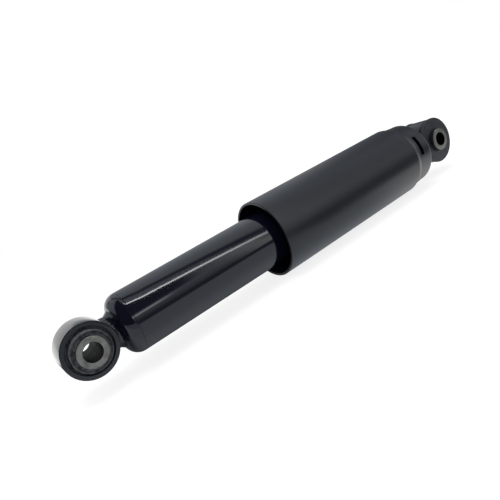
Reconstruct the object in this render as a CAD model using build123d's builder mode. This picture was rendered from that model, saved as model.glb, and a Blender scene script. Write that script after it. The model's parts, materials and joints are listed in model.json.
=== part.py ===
from build123d import *
import os

os.makedirs("parts", exist_ok=True)

# Twin-tube hydraulic shock absorber with an eye at each end and a plastic dust cover.
# Frame: origin at the centre of the lower eye, +X along the rod towards the upper eye,
# Y along the two eye bolts, +Z up. All sizes are millimetres, at the length of the photograph.

# Length and travel
eye_to_eye = 427.0
compression_travel = 50.0
extension_travel = 130.0

# Clearances
seat_gap = 0.02
running_gap = 0.05
stop_gap = 0.3
fillet_margin = 0.01

# Eyes and their bushes
bolt_bore_r = 7.1
sleeve_r = 12.0
sleeve_length = 42.0
sleeve_edge = 0.7
ring_width = 28.0
ring_wall = 3.6
ring_edge = 0.6
lower_ring_r = 21.6
upper_ring_r = 24.2
lower_rubber_proud = 4.2
lower_rubber_crown = 1.0
lower_crown_width = 1.4
rubber_groove_depth = 4.0
rubber_groove_width = 1.68
flange_overhang = 0.6
flange_gap = 0.6
flange_thickness = 2.4
flange_round = 1.0

# Welds between the eyes and what they stand on
lower_weld_height = 3.4
weld_neck_r = 13.2
weld_toe_r = 16.6
weld_root_depth = 4.3
weld_bite = 0.2
upper_weld_height = 1.3
upper_weld_r = 11.5

# Reserve tube and base cap
tube_r = 25.5
tube_wall = 2.0
rolled_lip_r = 17.5
rolled_lip_thickness = 2.2
rolled_lip_round = 3.7
seam_bevel = 0.35
cap_corner_r = 11.0
cap_wall = 3.0
cap_spigot = 8.0

# Pressure tube
bore_r = 15.0
pressure_wall = 1.5

# Base valve
base_foot_height = 5.0
base_flange_r = 17.5
base_flange_thickness = 4.0
base_spigot_length = 6.0
base_foot_pitch_r = 10.4
base_foot_length = 3.2
base_foot_width = 4.0
base_outer_port_pitch_r = 11.3
base_outer_port_r = 1.5
base_inner_port_pitch_r = 6.4
base_inner_port_r = 1.2
base_port_count = 4
rivet_shank_r = 3.0
rivet_head_r = 5.0
rivet_head_thickness = 1.6
rivet_hub_r = 4.0
base_retainer_r = 10.5
base_retainer_thickness = 1.5
base_spring_space = 3.5
base_spring_tip_r = 10.2
check_plate_thickness = 1.0
check_plate_r = 13.4
base_window_r = 1.5
spring_thickness = 0.3
spring_ring_width = 1.8
spring_finger_count = 4
spring_finger_width = 3.0
shim_thickness = 0.5
base_shim_radii = (8.2, 7.3, 6.2)

# Piston and what is clamped with it on the rod
piston_height = 14.0
piston_gap = 0.12
piston_to_base_valve = 6.0
band_width = 8.0
band_thickness = 1.5
piston_outer_port_pitch_r = 11.7
piston_outer_port_r = 1.2
piston_inner_port_pitch_r = 8.5
piston_inner_port_r = 1.0
piston_window_r = 1.2
piston_port_count = 4
piston_shim_radii = (10.2, 9.4, 8.4)
stub_r = 5.0
stub_tail = 1.5
stub_chamfer = 0.8
nut_across_flats = 15.0
nut_height = 7.0
washer_r = 6.8
washer_thickness = 1.5
support_hub_r = 6.5
support_r = 11.0
support_thickness = 1.5
piston_spring_space = 2.6
piston_spring_tip_r = 10.8

# Rod, guide and seal
rod_r = 6.5
rod_top_stub_r = 6.0
stop_spacing = 20.88
stop_collar_r = 11.0
stop_collar_height = 4.0
stop_ring_r = 12.0
stop_ring_height = 8.0
stop_ring_chamfer = 0.8
guide_bush_wall = 1.0
guide_spigot = 8.0
guide_shoulder = 8.0
guide_recess_r = 17.0
guide_recess_depth = 4.0
guide_drain_pitch_r = 19.6
guide_drain_r = 1.2
guide_drain_count = 4
o_ring_section_r = 1.15
seal_thickness = 4.5
seal_lip_length = 3.0
seal_lip_r = 9.2
lip_edge = 0.8
dust_lip_length = 2.4
dust_lip_r = 8.4
garter_section_r = 0.7
ring_section_sides = 8
closing_washer_thickness = 3.5
closing_washer_bore_r = 11.0

# Upper cap
upper_cap_r = 28.6
upper_cap_wall = 2.5
upper_cap_round = 1.5
upper_cap_skirt = 11.0
upper_cap_flat_r = 20.0
upper_cap_crown_r = 13.5
upper_cap_crown_height = 10.5

# Plastic dust cover
cover_rim_x = 177.0
cover_shoulder_x = 368.5
cover_shoulder_length = 3.6
cover_shoulder_round = 3.0
cover_shoulder_step = 2.4
cover_draft = 1.4
cover_wall = 2.2
cover_rim_round = 0.8
collar_gap = 0.2
collar_draft = 2.2
collar_land_length = 9.2
collar_land_drop = 0.3
collar_step = 0.4
collar_end_round = 1.4
cover_lip_thickness = 2.0
cover_lip_r = 24.0
slot_count = 3
slot_angle = 34.0
slot_middle_angle = 17.0
slot_width = 3.4
snap_rib_thickness = 1.0
snap_rib_height = 3.4

# Stations along the axis, from the sizes above
cap_x = lower_ring_r + lower_weld_height
tube_x = cap_x + cap_corner_r
tube_bore_r = tube_r - tube_wall
floor_x = cap_x + cap_wall
base_seat_x = floor_x + base_foot_height
pressure_tube_x = base_seat_x + base_flange_thickness
base_top_x = pressure_tube_x + base_spigot_length
base_retainer_x = base_top_x + check_plate_thickness + base_spring_space
base_valve_top_x = base_retainer_x + base_retainer_thickness

stub_end_x = base_valve_top_x + compression_travel + piston_to_base_valve
nut_x = stub_end_x + stub_tail
washer_x = nut_x + nut_height
piston_shim_x = washer_x + washer_thickness
piston_x = piston_shim_x + shim_thickness * len(piston_shim_radii)
piston_top_x = piston_x + piston_height
support_x = piston_top_x + check_plate_thickness + piston_spring_space
rod_x = support_x + support_thickness
piston_r = bore_r - piston_gap
band_x = piston_x + (piston_height - band_width) / 2
band_outer_r = bore_r - running_gap
band_inner_r = band_outer_r - band_thickness
stop_collar_x = rod_x + stop_spacing
stop_ring_x = stop_collar_x + stop_collar_height
stop_ring_top_x = stop_ring_x + stop_ring_height

# The tube is as long as the travel needs
guide_x = stop_ring_top_x + stop_gap + extension_travel
guide_shoulder_x = guide_x + guide_spigot
seal_x = guide_shoulder_x + guide_shoulder
closing_washer_x = seal_x + seal_thickness
tube_top_x = closing_washer_x + closing_washer_thickness + seat_gap + rolled_lip_thickness

upper_cap_top_x = eye_to_eye - upper_ring_r - upper_weld_height
upper_cap_flat_x = upper_cap_top_x - upper_cap_crown_height
upper_cap_rim_x = upper_cap_flat_x - upper_cap_skirt
cover_top_x = upper_cap_flat_x + cover_lip_thickness
collar_x = cover_shoulder_x + cover_shoulder_length
collar_end_r = upper_cap_r + collar_gap + cover_wall
collar_r = collar_end_r + collar_draft
cover_shoulder_r = collar_r + cover_shoulder_step
cover_rim_r = cover_shoulder_r + cover_draft
collar_step_x = collar_x + collar_land_length
collar_wall_r = collar_r - cover_wall
slot_x = upper_cap_rim_x - snap_rib_thickness - slot_width


def outline(*points):
    """Adds a closed outline of (station, radius) points to the current sketch."""
    Polygon(*points, align=None)


def corners(sketch, *points):
    """The sketch's corners that lie nearest to the given points."""
    found = sketch.vertices()
    return [min(found, key=lambda v: (Vector(v) - Vector(*p, 0)).length) for p in points]


def port_ring(station, pitch_r, port_r, count, depth):
    """Cuts a ring of round ports along the axis from a station."""
    with BuildSketch(Plane.YZ.offset(station)) as ports:
        with PolarLocations(pitch_r, count):
            Circle(port_r)
    extrude(ports.sketch, amount=depth, mode=Mode.SUBTRACT)


def eye_plane(eye_x):
    """The plane across an eye's bolt axis, with its x along the radius."""
    return Plane((eye_x, 0, 0))


def eye_axis(eye_x):
    """The bolt axis of the eye at a station."""
    return Axis((eye_x, 0, 0), (0, 1, 0))


# Eye rings, rubber bushes and inner sleeves
def eye_ring(eye_x, outer_r):
    """A short steel tube round the bolt axis."""
    with BuildPart() as ring:
        with BuildSketch(Plane.XZ.offset(-ring_width / 2)):
            with Locations((eye_x, 0)):
                Circle(outer_r)
                Circle(outer_r - ring_wall, mode=Mode.SUBTRACT)
        extrude(amount=ring_width)
        chamfer(ring.edges().filter_by(GeomType.CIRCLE), ring_edge)
    return ring.part


def inner_sleeve(eye_x):
    """The thick steel tube that the eye bolt clamps."""
    with BuildPart() as sleeve:
        with BuildSketch(Plane.XZ.offset(-sleeve_length / 2)):
            with Locations((eye_x, 0)):
                Circle(sleeve_r)
                Circle(bolt_bore_r, mode=Mode.SUBTRACT)
        extrude(amount=sleeve_length)
        chamfer(sleeve.edges().filter_by(GeomType.CIRCLE), sleeve_edge)
    return sleeve.part


lower_eye_ring = eye_ring(0, lower_ring_r)
lower_eye_ring.label = "lower_eye_ring"
upper_eye_ring = eye_ring(eye_to_eye, upper_ring_r)
upper_eye_ring.label = "upper_eye_ring"
lower_inner_sleeve = inner_sleeve(0)
lower_inner_sleeve.label = "lower_inner_sleeve"
upper_inner_sleeve = inner_sleeve(eye_to_eye)
upper_inner_sleeve.label = "upper_inner_sleeve"

# The lower bush steps in at a groove and stands proud of the ring as a narrower crowned boss
lower_bush_bore_r = sleeve_r + running_gap
lower_bush_r = lower_ring_r - ring_wall - seat_gap
lower_rubber_r = lower_bush_r - rubber_groove_width
lower_boss_y = ring_width / 2 + lower_rubber_proud
lower_crown_y = lower_boss_y + lower_rubber_crown
lower_groove_y = ring_width / 2 - rubber_groove_depth
with BuildPart() as lower_bush_rubber:
    with BuildSketch(eye_plane(0)):
        outline(
            (lower_bush_bore_r, 0),
            (lower_bush_r, 0),
            (lower_bush_r, lower_groove_y),
            (lower_rubber_r, lower_groove_y),
            (lower_rubber_r, lower_boss_y),
            (lower_bush_bore_r + lower_crown_width, lower_crown_y),
            (lower_bush_bore_r, lower_boss_y),
        )
        mirror(about=Plane.XZ)
    revolve(axis=eye_axis(0))
lower_bush_rubber.part.label = "lower_bush_rubber"

# The upper bush ends in a flange that hides the ring's face
upper_bush_r = upper_ring_r - ring_wall - seat_gap
flange_r = upper_ring_r + flange_overhang
flange_y = ring_width / 2 + flange_gap
flange_face_y = flange_y + flange_thickness
with BuildPart() as upper_bush_rubber:
    with BuildSketch(eye_plane(eye_to_eye)) as bush_profile:
        outline(
            (lower_bush_bore_r, 0),
            (upper_bush_r, 0),
            (upper_bush_r, flange_y),
            (flange_r, flange_y),
            (flange_r, flange_face_y),
            (lower_bush_bore_r, flange_face_y),
        )
        fillet(corners(bush_profile, (flange_r, flange_face_y)), flange_round)
        mirror(about=Plane.XZ)
    revolve(axis=eye_axis(eye_to_eye))
upper_bush_rubber.part.label = "upper_bush_rubber"

# Base cap: a drawn cup with a large corner and a spigot that enters the reserve tube
spigot_r = tube_bore_r - seat_gap
spigot_bore_r = tube_bore_r - cap_wall
with BuildPart() as base_cap:
    with BuildSketch(Plane.XZ) as cap_profile:
        outline(
            (cap_x, 0),
            (cap_x, tube_r),
            (tube_x, tube_r),
            (tube_x, spigot_r),
            (tube_x + cap_spigot, spigot_r),
            (tube_x + cap_spigot, spigot_bore_r),
            (floor_x, spigot_bore_r),
            (floor_x, 0),
        )
        fillet(corners(cap_profile, (cap_x, tube_r)), cap_corner_r - fillet_margin)
        fillet(corners(cap_profile, (floor_x, spigot_bore_r)), cap_corner_r - cap_wall)
    revolve(axis=Axis.X)
base_cap.part.label = "base_cap"

# Weld between the lower ring and the base cap, hollowed round its neck
with BuildPart() as lower_eye_weld:
    with BuildSketch(Plane.XZ):
        neck_x = lower_ring_r - weld_root_depth
        with BuildLine():
            neck = Line((neck_x, 0), (neck_x, weld_neck_r))
            side = Polyline(neck @ 1, (neck_x + lower_weld_height / 2, weld_neck_r))
            flare = TangentArc(side @ 1, (cap_x + weld_bite, weld_toe_r), tangent=(1, 0))
            Polyline(flare @ 1, (cap_x + weld_bite, 0), neck @ 0)
        make_face()
    revolve(axis=Axis.X)
    Cylinder(lower_ring_r, 2 * ring_width, rotation=(90, 0, 0), mode=Mode.SUBTRACT)
    add(base_cap.part, mode=Mode.SUBTRACT)
lower_eye_weld.part.label = "lower_eye_weld"

# Reserve tube, rolled over the closing washer at its top
with BuildPart() as reserve_tube:
    with BuildSketch(Plane.XZ) as tube_profile:
        outline(
            (tube_x, tube_bore_r),
            (tube_x, tube_r - seam_bevel),
            (tube_x + seam_bevel, tube_r),
            (tube_top_x, tube_r),
            (tube_top_x, rolled_lip_r),
            (tube_top_x - rolled_lip_thickness, rolled_lip_r),
            (tube_top_x - rolled_lip_thickness, tube_bore_r),
        )
        fillet(corners(tube_profile, (tube_top_x, tube_r)), rolled_lip_round)
    revolve(axis=Axis.X)
reserve_tube.part.label = "reserve_tube"

# Base valve
with BuildPart() as base_valve_body:
    with BuildSketch(Plane.YZ.offset(floor_x)):
        with PolarLocations(base_foot_pitch_r, base_port_count, start_angle=180 / base_port_count):
            Rectangle(base_foot_length, base_foot_width)
    extrude(amount=base_foot_height)
    with BuildSketch(Plane.YZ.offset(base_seat_x)):
        Circle(base_flange_r)
    extrude(amount=base_flange_thickness)
    with BuildSketch(Plane.YZ.offset(pressure_tube_x)):
        Circle(bore_r - seat_gap)
    extrude(amount=base_spigot_length)
    valve_depth = base_top_x - base_seat_x
    port_ring(base_seat_x, base_outer_port_pitch_r, base_outer_port_r, base_port_count, valve_depth)
    port_ring(base_seat_x, base_inner_port_pitch_r, base_inner_port_r, base_port_count, valve_depth)
    with BuildSketch(Plane.YZ.offset(base_seat_x)):
        Circle(rivet_shank_r + seat_gap)
    extrude(amount=valve_depth, mode=Mode.SUBTRACT)
base_valve_body.part.label = "base_valve_body"


def shim_stack(first_x, direction, radii, hole_r):
    """Thin discs that lie face to face, the largest against the valve's seat."""
    with BuildPart() as stack:
        for number, radius in enumerate(radii):
            start = first_x + direction * shim_thickness * number
            with BuildSketch(Plane.YZ.offset(start)):
                Circle(radius)
                Circle(hole_r, mode=Mode.SUBTRACT)
            extrude(amount=direction * shim_thickness)
    return stack.part


base_valve_shims = shim_stack(base_seat_x, -1, base_shim_radii, rivet_shank_r + seat_gap)
base_valve_shims.label = "base_valve_shims"

# Rivet that holds the base valve together, with the seat of the check spring at its top
rivet_head_x = base_seat_x - shim_thickness * len(base_shim_radii)
with BuildPart() as base_valve_rivet:
    with BuildSketch(Plane.XZ):
        outline(
            (rivet_head_x - rivet_head_thickness, 0),
            (rivet_head_x - rivet_head_thickness, rivet_head_r),
            (rivet_head_x, rivet_head_r),
            (rivet_head_x, rivet_shank_r),
            (base_top_x, rivet_shank_r),
            (base_top_x, rivet_hub_r),
            (base_retainer_x, rivet_hub_r),
            (base_retainer_x, base_retainer_r),
            (base_valve_top_x, base_retainer_r),
            (base_valve_top_x, 0),
        )
    revolve(axis=Axis.X)
base_valve_rivet.part.label = "base_valve_rivet"


def check_plate(station, hub_r, window_pitch_r, window_r, count):
    """A flat annular valve plate with windows over the inner ports."""
    with BuildPart() as plate:
        with BuildSketch(Plane.YZ.offset(station)):
            Circle(check_plate_r)
            Circle(hub_r + running_gap, mode=Mode.SUBTRACT)
            with PolarLocations(window_pitch_r, count):
                Circle(window_r, mode=Mode.SUBTRACT)
        extrude(amount=check_plate_thickness)
    return plate.part


def finger_spring(station, space, hub_r, tip_r):
    """A light flat spring: a ring under its seat, with fingers that slope down to a check plate."""
    low = station + seat_gap
    high = station + space - seat_gap
    ring_r = hub_r + spring_ring_width
    root_r = ring_r - spring_thickness
    with BuildPart() as spring:
        with BuildSketch(Plane.YZ.offset(high)):
            Circle(ring_r)
            Circle(hub_r + seat_gap, mode=Mode.SUBTRACT)
        extrude(amount=-spring_thickness)
        for number in range(spring_finger_count):
            turn = 360 / spring_finger_count * number
            with BuildSketch(Plane.XZ.rotated((turn, 0, 0))):
                outline(
                    (high - spring_thickness, root_r),
                    (high, root_r),
                    (low + spring_thickness, tip_r),
                    (low, tip_r),
                )
            extrude(amount=spring_finger_width / 2, both=True)
    return spring.part


base_check_plate = check_plate(
    base_top_x, rivet_hub_r, base_inner_port_pitch_r, base_window_r, base_port_count
)
base_check_plate.label = "base_check_plate"
base_check_spring = finger_spring(
    base_top_x + check_plate_thickness, base_spring_space, rivet_hub_r, base_spring_tip_r
)
base_check_spring.label = "base_check_spring"

# Pressure tube, between the base valve's flange and the guide's shoulder
with BuildPart() as pressure_tube:
    with BuildSketch(Plane.YZ.offset(pressure_tube_x)):
        Circle(bore_r + pressure_wall)
        Circle(bore_r, mode=Mode.SUBTRACT)
    extrude(amount=guide_shoulder_x - pressure_tube_x)
pressure_tube.part.label = "pressure_tube"

# Rod guide with its bush, the outer O-ring, the lip seal and the closing washer
guide_r = tube_bore_r - seat_gap
guide_bush_r = rod_r + running_gap + guide_bush_wall
guide_recess_x = seal_x - guide_recess_depth
o_ring_seat = 2 * o_ring_section_r + 2 * seat_gap
with BuildPart() as rod_guide:
    with BuildSketch(Plane.XZ):
        outline(
            (guide_x, guide_bush_r + seat_gap),
            (guide_x, bore_r - seat_gap),
            (guide_shoulder_x, bore_r - seat_gap),
            (guide_shoulder_x, guide_r),
            (seal_x - o_ring_seat, guide_r),
            (seal_x - o_ring_seat, guide_r - o_ring_seat),
            (seal_x, guide_r - o_ring_seat),
            (seal_x, guide_recess_r),
            (guide_recess_x, guide_recess_r),
            (guide_recess_x, guide_bush_r + seat_gap),
        )
    revolve(axis=Axis.X)
    port_ring(guide_shoulder_x, guide_drain_pitch_r, guide_drain_r, guide_drain_count, guide_shoulder)
rod_guide.part.label = "rod_guide"

with BuildPart() as guide_bush:
    with BuildSketch(Plane.YZ.offset(guide_x)):
        Circle(guide_bush_r)
        Circle(rod_r + running_gap, mode=Mode.SUBTRACT)
    extrude(amount=guide_recess_x - guide_x)
guide_bush.part.label = "guide_bush"

with BuildPart() as tube_o_ring:
    with BuildSketch(Plane.XZ):
        o_ring_inset = o_ring_section_r + seat_gap
        with Locations((seal_x - o_ring_inset, guide_r - o_ring_inset)):
            RegularPolygon(o_ring_section_r, ring_section_sides)
    revolve(axis=Axis.X)
tube_o_ring.part.label = "tube_o_ring"

# Seal: a flat rubber washer with a sealing lip below and a dust lip above
seal_bore_r = rod_r + running_gap
garter_x = seal_x - seal_lip_length + garter_section_r + seat_gap
garter_pitch_r = seal_lip_r + garter_section_r + seat_gap
with BuildPart() as rod_seal:
    with BuildSketch(Plane.XZ):
        outline(
            (seal_x - seal_lip_length, seal_bore_r),
            (seal_x - seal_lip_length, seal_lip_r),
            (seal_x, seal_lip_r),
            (seal_x, guide_r),
            (closing_washer_x, guide_r),
            (closing_washer_x, dust_lip_r),
            (closing_washer_x + dust_lip_length, seal_bore_r + lip_edge),
            (closing_washer_x + dust_lip_length, seal_bore_r),
            (closing_washer_x - seal_thickness / 2, seal_bore_r + lip_edge),
        )
    revolve(axis=Axis.X)
rod_seal.part.label = "rod_seal"

with BuildPart() as seal_garter_spring:
    with BuildSketch(Plane.XZ):
        with Locations((garter_x, garter_pitch_r)):
            RegularPolygon(garter_section_r, ring_section_sides)
    revolve(axis=Axis.X)
seal_garter_spring.part.label = "seal_garter_spring"

with BuildPart() as closing_washer:
    with BuildSketch(Plane.YZ.offset(closing_washer_x)):
        Circle(guide_r)
        Circle(closing_washer_bore_r, mode=Mode.SUBTRACT)
    extrude(amount=closing_washer_thickness)
closing_washer.part.label = "closing_washer"

# Piston rod: a stub for the piston, the ground shank and a stub in the upper cap
cap_under_x = upper_cap_top_x - upper_cap_wall
with BuildPart() as piston_rod:
    with BuildSketch(Plane.XZ) as rod_profile:
        outline(
            (stub_end_x, 0),
            (stub_end_x, stub_r),
            (rod_x, stub_r),
            (rod_x, rod_r),
            (cap_under_x, rod_r),
            (cap_under_x, rod_top_stub_r),
            (upper_cap_top_x, rod_top_stub_r),
            (upper_cap_top_x, 0),
        )
        chamfer(corners(rod_profile, (stub_end_x, stub_r)), stub_chamfer)
    revolve(axis=Axis.X)
piston_rod.part.label = "piston_rod"

# Piston with a groove for its band and two rings of ports
stub_hole_r = stub_r + seat_gap
with BuildPart() as piston:
    with BuildSketch(Plane.XZ):
        outline(
            (piston_x, stub_hole_r),
            (piston_x, piston_r),
            (band_x, piston_r),
            (band_x, band_inner_r - running_gap),
            (band_x + band_width, band_inner_r - running_gap),
            (band_x + band_width, piston_r),
            (piston_top_x, piston_r),
            (piston_top_x, stub_hole_r),
        )
    revolve(axis=Axis.X)
    port_ring(piston_x, piston_outer_port_pitch_r, piston_outer_port_r, piston_port_count, piston_height)
    port_ring(piston_x, piston_inner_port_pitch_r, piston_inner_port_r, piston_port_count, piston_height)
piston.part.label = "piston"

with BuildPart() as piston_band:
    with BuildSketch(Plane.YZ.offset(band_x + running_gap)):
        Circle(band_outer_r)
        Circle(band_inner_r, mode=Mode.SUBTRACT)
    extrude(amount=band_width - 2 * running_gap)
piston_band.part.label = "piston_band"

rebound_shims = shim_stack(piston_x, -1, piston_shim_radii, stub_hole_r)
rebound_shims.label = "rebound_shims"

with BuildPart() as piston_washer:
    with BuildSketch(Plane.YZ.offset(washer_x)):
        Circle(washer_r)
        Circle(stub_hole_r, mode=Mode.SUBTRACT)
    extrude(amount=washer_thickness)
piston_washer.part.label = "piston_washer"

with BuildPart() as piston_nut:
    with BuildSketch(Plane.YZ.offset(nut_x)):
        RegularPolygon(nut_across_flats / 2, 6, major_radius=False)
        Circle(stub_hole_r, mode=Mode.SUBTRACT)
    extrude(amount=nut_height)
piston_nut.part.label = "piston_nut"

with BuildPart() as piston_support_washer:
    with BuildSketch(Plane.XZ):
        outline(
            (piston_top_x, stub_hole_r),
            (piston_top_x, support_hub_r),
            (support_x, support_hub_r),
            (support_x, support_r),
            (rod_x, support_r),
            (rod_x, stub_hole_r),
        )
    revolve(axis=Axis.X)
piston_support_washer.part.label = "piston_support_washer"

piston_check_plate = check_plate(
    piston_top_x, support_hub_r, piston_inner_port_pitch_r, piston_window_r, piston_port_count
)
piston_check_plate.label = "piston_check_plate"
piston_check_spring = finger_spring(
    piston_top_x + check_plate_thickness, piston_spring_space, support_hub_r, piston_spring_tip_r
)
piston_check_spring.label = "piston_check_spring"

# Rebound stop: a steel collar fixed on the rod and the plastic ring that meets the guide
with BuildPart() as rebound_stop_collar:
    with BuildSketch(Plane.YZ.offset(stop_collar_x)):
        Circle(stop_collar_r)
        Circle(rod_r + seat_gap, mode=Mode.SUBTRACT)
    extrude(amount=stop_collar_height)
rebound_stop_collar.part.label = "rebound_stop_collar"

with BuildPart() as rebound_stop_ring:
    with BuildSketch(Plane.YZ.offset(stop_ring_x)):
        Circle(stop_ring_r)
        Circle(rod_r + seat_gap, mode=Mode.SUBTRACT)
    extrude(amount=stop_ring_height)
    chamfer(rebound_stop_ring.edges().filter_by(GeomType.CIRCLE).group_by(Axis.X)[-1], stop_ring_chamfer)
rebound_stop_ring.part.label = "rebound_stop_ring"

# Upper cap: a pressed steel cup with a raised crown that carries the rod and the eye
with BuildPart() as upper_cap:
    with BuildSketch(Plane.XZ) as upper_cap_profile:
        outline(
            (upper_cap_rim_x, upper_cap_r - upper_cap_wall),
            (upper_cap_rim_x, upper_cap_r),
            (upper_cap_flat_x, upper_cap_r),
            (upper_cap_flat_x, upper_cap_flat_r),
            (upper_cap_top_x, upper_cap_crown_r),
            (upper_cap_top_x, rod_top_stub_r + seat_gap),
            (cap_under_x, rod_top_stub_r + seat_gap),
            (cap_under_x, upper_cap_crown_r - upper_cap_wall),
            (upper_cap_flat_x - upper_cap_wall, upper_cap_flat_r - upper_cap_wall),
            (upper_cap_flat_x - upper_cap_wall, upper_cap_r - upper_cap_wall),
        )
        fillet(corners(upper_cap_profile, (upper_cap_flat_x, upper_cap_r)), upper_cap_round)
    revolve(axis=Axis.X)
upper_cap.part.label = "upper_cap"

# Weld between the upper cap's crown and the upper ring
with BuildPart() as upper_eye_weld:
    with BuildSketch(Plane.XZ):
        weld_top_x = eye_to_eye - upper_ring_r + weld_root_depth
        outline(
            (upper_cap_top_x, rod_top_stub_r + seat_gap),
            (upper_cap_top_x, upper_weld_r),
            (weld_top_x, upper_weld_r),
            (weld_top_x, rod_top_stub_r + seat_gap),
        )
    revolve(axis=Axis.X)
    with Locations((eye_to_eye, 0, 0)):
        Cylinder(upper_ring_r, 2 * ring_width, rotation=(90, 0, 0), mode=Mode.SUBTRACT)
upper_eye_weld.part.label = "upper_eye_weld"

# Dust cover: one moulding with draft, a rounded shoulder, a stepped collar with three
# slots, snap ribs below the upper cap's rim and a lip above it
shoulder_wall_r = cover_shoulder_r - cover_wall
collar_end_wall_r = collar_end_r - cover_wall
land_end_r = collar_r - collar_land_drop
with BuildPart() as dust_cover:
    with BuildSketch(Plane.XZ) as cover_profile:
        outline(
            (cover_rim_x, cover_rim_r - cover_wall),
            (cover_rim_x, cover_rim_r),
            (cover_shoulder_x, cover_shoulder_r),
            (collar_x, collar_r),
            (collar_step_x, land_end_r),
            (collar_step_x, land_end_r - collar_step),
            (cover_top_x, collar_end_r),
            (cover_top_x, cover_lip_r),
            (upper_cap_flat_x, cover_lip_r),
            (upper_cap_flat_x, collar_end_wall_r),
            (collar_x - cover_wall, collar_wall_r),
            (cover_shoulder_x - cover_wall, shoulder_wall_r),
        )
        fillet(corners(cover_profile, (cover_top_x, collar_end_r)), collar_end_round)
        fillet(corners(cover_profile, (cover_shoulder_x, cover_shoulder_r)), cover_shoulder_round)
        rim_corners = corners(
            cover_profile, (cover_rim_x, cover_rim_r), (cover_rim_x, cover_rim_r - cover_wall)
        )
        fillet(rim_corners, cover_rim_round)
    revolve(axis=Axis.X)

    # Each slot is a sector of a ring, cut right through the collar
    with BuildSketch(Plane.YZ.offset(slot_x)) as slot_sectors:
        for number in range(slot_count):
            middle = 180 - slot_middle_angle + 360 / slot_count * number
            start = middle - slot_angle / 2
            with BuildLine():
                outer = CenterArc((0, 0), cover_rim_r, start, slot_angle)
                inner = CenterArc((0, 0), upper_cap_r - upper_cap_wall, start, slot_angle)
                Line(outer @ 0, inner @ 0)
                Line(outer @ 1, inner @ 1)
            make_face()
    extrude(amount=slot_width, mode=Mode.SUBTRACT)

    # A snap rib stands inside the wall at each slot, just below the upper cap's rim
    with BuildSketch(Plane.YZ.offset(slot_x + slot_width)):
        for number in range(slot_count):
            middle = 180 - slot_middle_angle + 360 / slot_count * number
            start = middle - slot_angle / 2
            with BuildLine():
                outer = CenterArc((0, 0), collar_wall_r, start, slot_angle)
                inner = CenterArc((0, 0), collar_wall_r - snap_rib_height, start, slot_angle)
                Line(outer @ 0, inner @ 0)
                Line(outer @ 1, inner @ 1)
            make_face()
    extrude(amount=snap_rib_thickness - seat_gap)
dust_cover.part.label = "dust_cover"

solids = [
    lower_eye_ring,
    lower_bush_rubber.part,
    lower_inner_sleeve,
    lower_eye_weld.part,
    base_cap.part,
    reserve_tube.part,
    base_valve_body.part,
    base_valve_shims,
    base_valve_rivet.part,
    base_check_plate,
    base_check_spring,
    pressure_tube.part,
    rod_guide.part,
    guide_bush.part,
    tube_o_ring.part,
    rod_seal.part,
    seal_garter_spring.part,
    closing_washer.part,
    piston_rod.part,
    piston.part,
    piston_band.part,
    rebound_shims,
    piston_washer.part,
    piston_nut.part,
    piston_support_washer.part,
    piston_check_plate,
    piston_check_spring,
    rebound_stop_collar.part,
    rebound_stop_ring.part,
    upper_cap.part,
    upper_eye_weld.part,
    upper_eye_ring,
    upper_bush_rubber.part,
    upper_inner_sleeve,
    dust_cover.part,
]
for solid in solids:
    export_step(solid, f"parts/{solid.label}.step")
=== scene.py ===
import json
import math

import bmesh
import bpy
from mathutils import Matrix, Vector, noise


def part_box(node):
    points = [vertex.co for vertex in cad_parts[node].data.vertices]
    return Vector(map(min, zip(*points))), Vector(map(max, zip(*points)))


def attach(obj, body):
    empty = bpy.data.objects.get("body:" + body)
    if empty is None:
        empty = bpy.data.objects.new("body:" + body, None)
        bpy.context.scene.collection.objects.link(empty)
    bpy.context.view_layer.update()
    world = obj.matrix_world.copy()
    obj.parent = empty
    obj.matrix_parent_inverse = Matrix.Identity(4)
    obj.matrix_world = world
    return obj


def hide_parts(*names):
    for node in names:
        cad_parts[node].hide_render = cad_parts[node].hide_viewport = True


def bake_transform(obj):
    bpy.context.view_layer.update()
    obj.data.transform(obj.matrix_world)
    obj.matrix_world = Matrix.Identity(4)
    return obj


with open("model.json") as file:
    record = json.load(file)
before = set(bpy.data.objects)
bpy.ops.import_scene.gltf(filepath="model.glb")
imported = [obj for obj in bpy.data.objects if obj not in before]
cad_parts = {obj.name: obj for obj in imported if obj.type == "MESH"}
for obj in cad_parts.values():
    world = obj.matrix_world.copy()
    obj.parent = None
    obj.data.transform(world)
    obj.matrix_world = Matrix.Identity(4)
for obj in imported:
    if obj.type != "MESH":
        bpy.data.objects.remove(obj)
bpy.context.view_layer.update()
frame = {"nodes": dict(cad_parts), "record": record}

bl_info = {
    "name": "Shock Absorber",
    "version": (1, 0, 0),
    "blender": (4, 5, 0),
    "location": "3D View > Sidebar > Shock Absorber",
    "description": "Finishes a twin-tube shock absorber: painted tube, moulded cover, bushed eyes",
    "category": "Object",
}

MM = 0.001

# Places that the CAD model gives, in metres
TUBE_LOW, TUBE_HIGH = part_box("reserve_tube")
CAP_LOW, CAP_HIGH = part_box("base_cap")
COVER_LOW, COVER_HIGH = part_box("dust_cover")
_, LOWER_RING_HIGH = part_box("lower_eye_ring")
UPPER_RING_LOW, UPPER_RING_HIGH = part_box("upper_eye_ring")
_, LOWER_RUBBER_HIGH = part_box("lower_bush_rubber")
STEEL_CAP_LOW, STEEL_CAP_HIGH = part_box("upper_cap")
_, UPPER_RUBBER_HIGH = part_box("upper_bush_rubber")
_, SLEEVE_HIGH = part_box("lower_inner_sleeve")
_, WELD_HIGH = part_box("lower_eye_weld")
EYE_TO_EYE = (UPPER_RING_LOW.x + UPPER_RING_HIGH.x) / 2

# Gaps between pieces that sit on each other, in metres
SEAT_GAP = 0.02 * MM
SLEEVE_GAP = 0.05 * MM
COVER_PLAY = 0.2 * MM

FULL_TURN = 2 * math.pi


def size(name, millimetres, description):
    """A length that a user may change, given in millimetres and held in metres."""
    return bpy.props.FloatProperty(
        name=name, description=description, default=millimetres * MM, unit="LENGTH", precision=5
    )


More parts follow.
